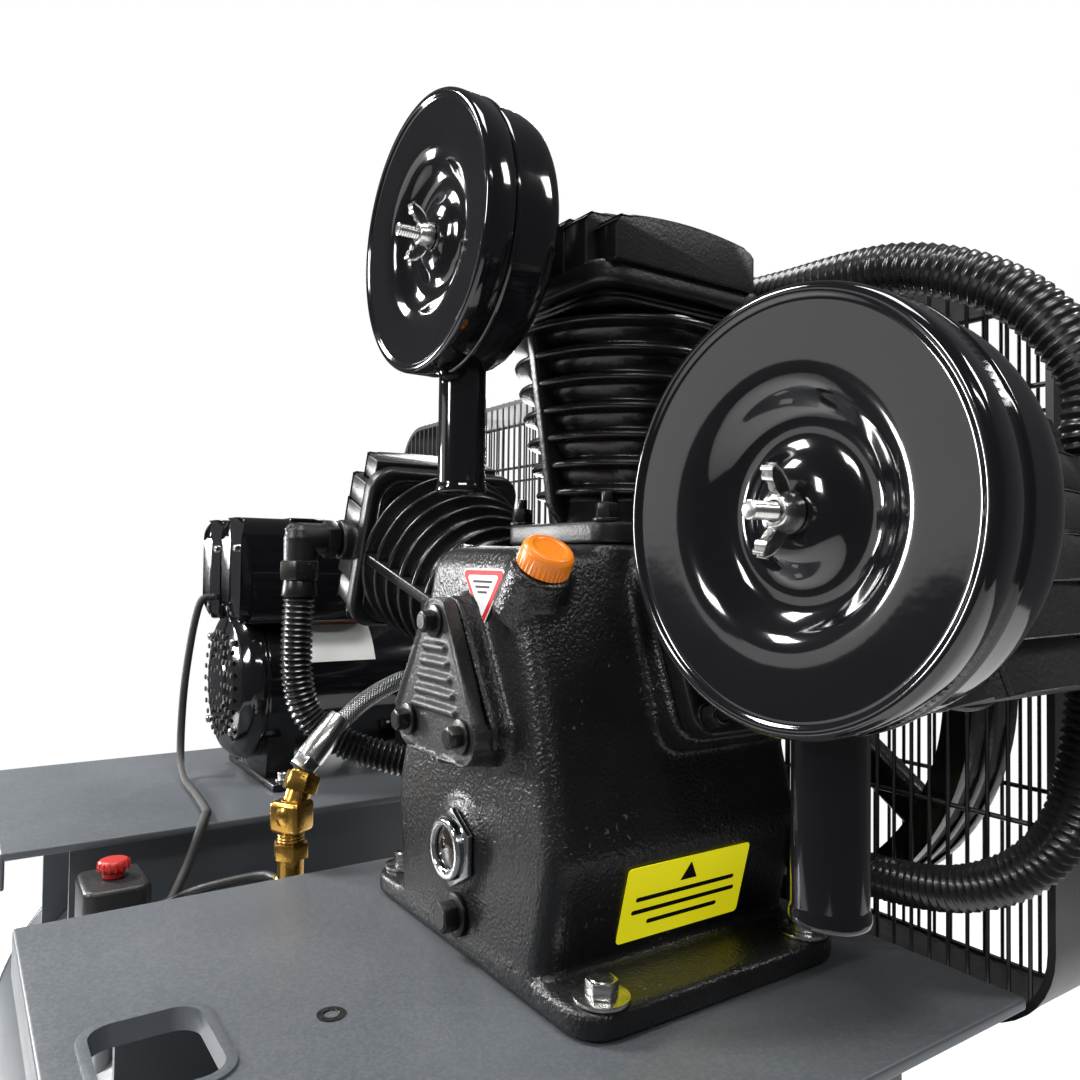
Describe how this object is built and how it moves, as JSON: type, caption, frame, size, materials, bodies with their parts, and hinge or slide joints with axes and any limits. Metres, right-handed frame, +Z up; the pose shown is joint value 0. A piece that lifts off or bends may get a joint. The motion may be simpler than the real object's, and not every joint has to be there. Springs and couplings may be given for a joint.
{
  "type": "air compressor",
  "caption": "Belt-driven air compressor: finned multi-cylinder pump and electric motor on platforms above a horizontal tank, with round intake filters and a wire belt guard.",
  "frame": {"origin": "middle of the floor area under the feet, with the bottom of the rubber pads at Z 0", "axes": "+X along the tank towards the pump end, +Y from the pump's front towards the belt guard, along the crank axis, +Z up"},
  "size_m": [1.2508, 0.617, 1.26],
  "materials": {
    "pebbled_black": "semi-gloss pebbled black enamel",
    "satin_black": "satin black enamel",
    "gloss_black": "high gloss black enamel",
    "matt_black": "matt black powder coat",
    "grey_paint": "satin blue-grey powder coat",
    "steel": "machined steel",
    "braid": "braided stainless steel",
    "cast_iron": "as cast",
    "aluminium": "machined",
    "zinc": "bright zinc plate",
    "chrome": "bright chrome",
    "brass": "machined brass, a little tarnished",
    "rubber": "matt black rubber",
    "orange_plastic": "ribbed orange plastic",
    "red_plastic": "red plastic",
    "black_plastic": "textured black plastic",
    "filter_paper": "pleated filter paper",
    "dark_glass": "oil-dark sight glass"
  },
  "bodies": {
    "frame": {"crankcase": "pebbled_black", "front_bearing_cover": "matt_black", "rear_bearing_housing": "pebbled_black", "front_bearing": "steel", "rear_bearing": "steel", "oil_sight_glass": "chrome", "oil_sight_lens": "dark_glass", "oil_drain_plug": "satin_black", "cylinder_left": "satin_black", "cylinder_centre": "satin_black", "cylinder_right": "satin_black", "valve_plate_left": "satin_black", "valve_plate_centre": "satin_black", "valve_plate_right": "satin_black", "cylinder_head_left": "satin_black", "cylinder_head_centre": "satin_black", "cylinder_head_right": "satin_black", "air_filter_housing_centre": "gloss_black", "air_filter_element_centre": "filter_paper", "air_filter_housing_right": "gloss_black", "air_filter_element_right": "filter_paper", "inlet_elbow_left": "satin_black", "intercooler_tube": "satin_black", "centre_discharge_tube": "satin_black", "discharge_hose": "braid", "brass_elbow": "brass", "tank_check_valve": "brass", "pump_platform": "grey_paint", "motor_platform": "grey_paint", "air_tank": "grey_paint", "foot_pad_left": "rubber", "foot_pad_right": "rubber", "pressure_switch": "black_plastic", "unloader_tube": "black_plastic", "motor_cable": "rubber", "motor_housing": "gloss_black", "start_capacitor_cover": "gloss_black", "run_capacitor_cover": "gloss_black", "drive_belt_front": "rubber", "drive_belt_rear": "rubber", "belt_guard_front_grille": "matt_black", "belt_guard_back_grille": "matt_black", "belt_guard_rim": "matt_black"},
    "crank": {"crankshaft": "steel", "flywheel": "cast_iron"},
    "motor_rotor": {"motor_rotor": "steel", "motor_pulley": "cast_iron"},
    "oil_cap": {"oil_filler_cap": "orange_plastic"},
    "switch_knob": {"pressure_switch_knob": "red_plastic"},
    "drain_cock": {"tank_drain_cock": "brass"},
    "piston_left": {"piston_left": "aluminium"},
    "rod_left": {"connecting_rod_left": "cast_iron"},
    "piston_centre": {"piston_centre": "aluminium"},
    "rod_centre": {"connecting_rod_centre": "cast_iron"},
    "piston_right": {"piston_right": "aluminium"},
    "rod_right": {"connecting_rod_right": "cast_iron"},
    "filter_lid_centre": {"air_filter_lid_centre": "gloss_black"},
    "wing_nut_centre": {"air_filter_wing_nut_centre": "zinc"},
    "filter_lid_right": {"air_filter_lid_right": "gloss_black"},
    "wing_nut_right": {"air_filter_wing_nut_right": "zinc"}
  },
  "joints": [
    {"name": "crank_spin", "type": "hinge", "parent": "frame", "child": "crank", "pos_m": [0.24956, 0.0365, 0.864], "axis": [0, 1, 0], "continuous": true},
    {"name": "motor_spin", "type": "hinge", "parent": "frame", "child": "motor_rotor", "pos_m": [-0.31444, 0.0365, 0.805], "axis": [0, 1, 0], "continuous": true},
    {"name": "oil_cap_lift", "type": "slide", "parent": "frame", "child": "oil_cap", "axis": [0.5736, 0, 0.8192], "range_m": [0, 0.03]},
    {"name": "switch_knob_pull", "type": "slide", "parent": "frame", "child": "switch_knob", "axis": [0, 0, 1], "range_m": [0, 0.006]},
    {"name": "drain_cock_turn", "type": "hinge", "parent": "frame", "child": "drain_cock", "pos_m": [-0.02544, -0.0535, 0.08], "axis": [0, 0, 1], "range_deg": [0, 180]},
    {"name": "piston_left_stroke", "type": "slide", "parent": "frame", "child": "piston_left", "axis": [-0.9336, 0, 0.3584], "range_m": [-0.01814, 0.04586]},
    {"name": "rod_left_swing", "type": "hinge", "parent": "piston_left", "child": "rod_left", "pos_m": [0.08699, 0.0465, 0.92641], "axis": [0, 1, 0], "range_deg": [-18.94, 0.66]},
    {"name": "piston_centre_stroke", "type": "slide", "parent": "frame", "child": "piston_centre", "axis": [0, 0, 1], "range_m": [0, 0.064]},
    {"name": "rod_centre_swing", "type": "hinge", "parent": "piston_centre", "child": "rod_centre", "pos_m": [0.24956, 0.0705, 1.02], "axis": [0, 1, 0], "range_deg": [-9.8, 9.8]},
    {"name": "piston_right_stroke", "type": "slide", "parent": "frame", "child": "piston_right", "axis": [0.9336, 0, 0.3584], "range_m": [-0.01814, 0.04586]},
    {"name": "rod_right_swing", "type": "hinge", "parent": "piston_right", "child": "rod_right", "pos_m": [0.41214, 0.0935, 0.92641], "axis": [0, 1, 0], "range_deg": [-0.66, 18.94]},
    {"name": "filter_lid_centre_off", "type": "slide", "parent": "frame", "child": "filter_lid_centre", "axis": [0, -1, 0], "range_m": [0, 0.03]},
    {"name": "wing_nut_centre_spin", "type": "hinge", "parent": "filter_lid_centre", "child": "wing_nut_centre", "pos_m": [0.24956, -0.0995, 1.167], "axis": [0, 1, 0], "continuous": true},
    {"name": "filter_lid_right_off", "type": "slide", "parent": "frame", "child": "filter_lid_right", "axis": [0, -1, 0], "range_m": [0, 0.03]},
    {"name": "wing_nut_right_spin", "type": "hinge", "parent": "filter_lid_right", "child": "wing_nut_right", "pos_m": [0.53244, -0.0765, 0.97259], "axis": [0, 1, 0], "continuous": true}
  ],
  "couplings": [
    {"joint": "motor_spin", "follows": "crank_spin", "ratio": 3.8632}
  ]
}
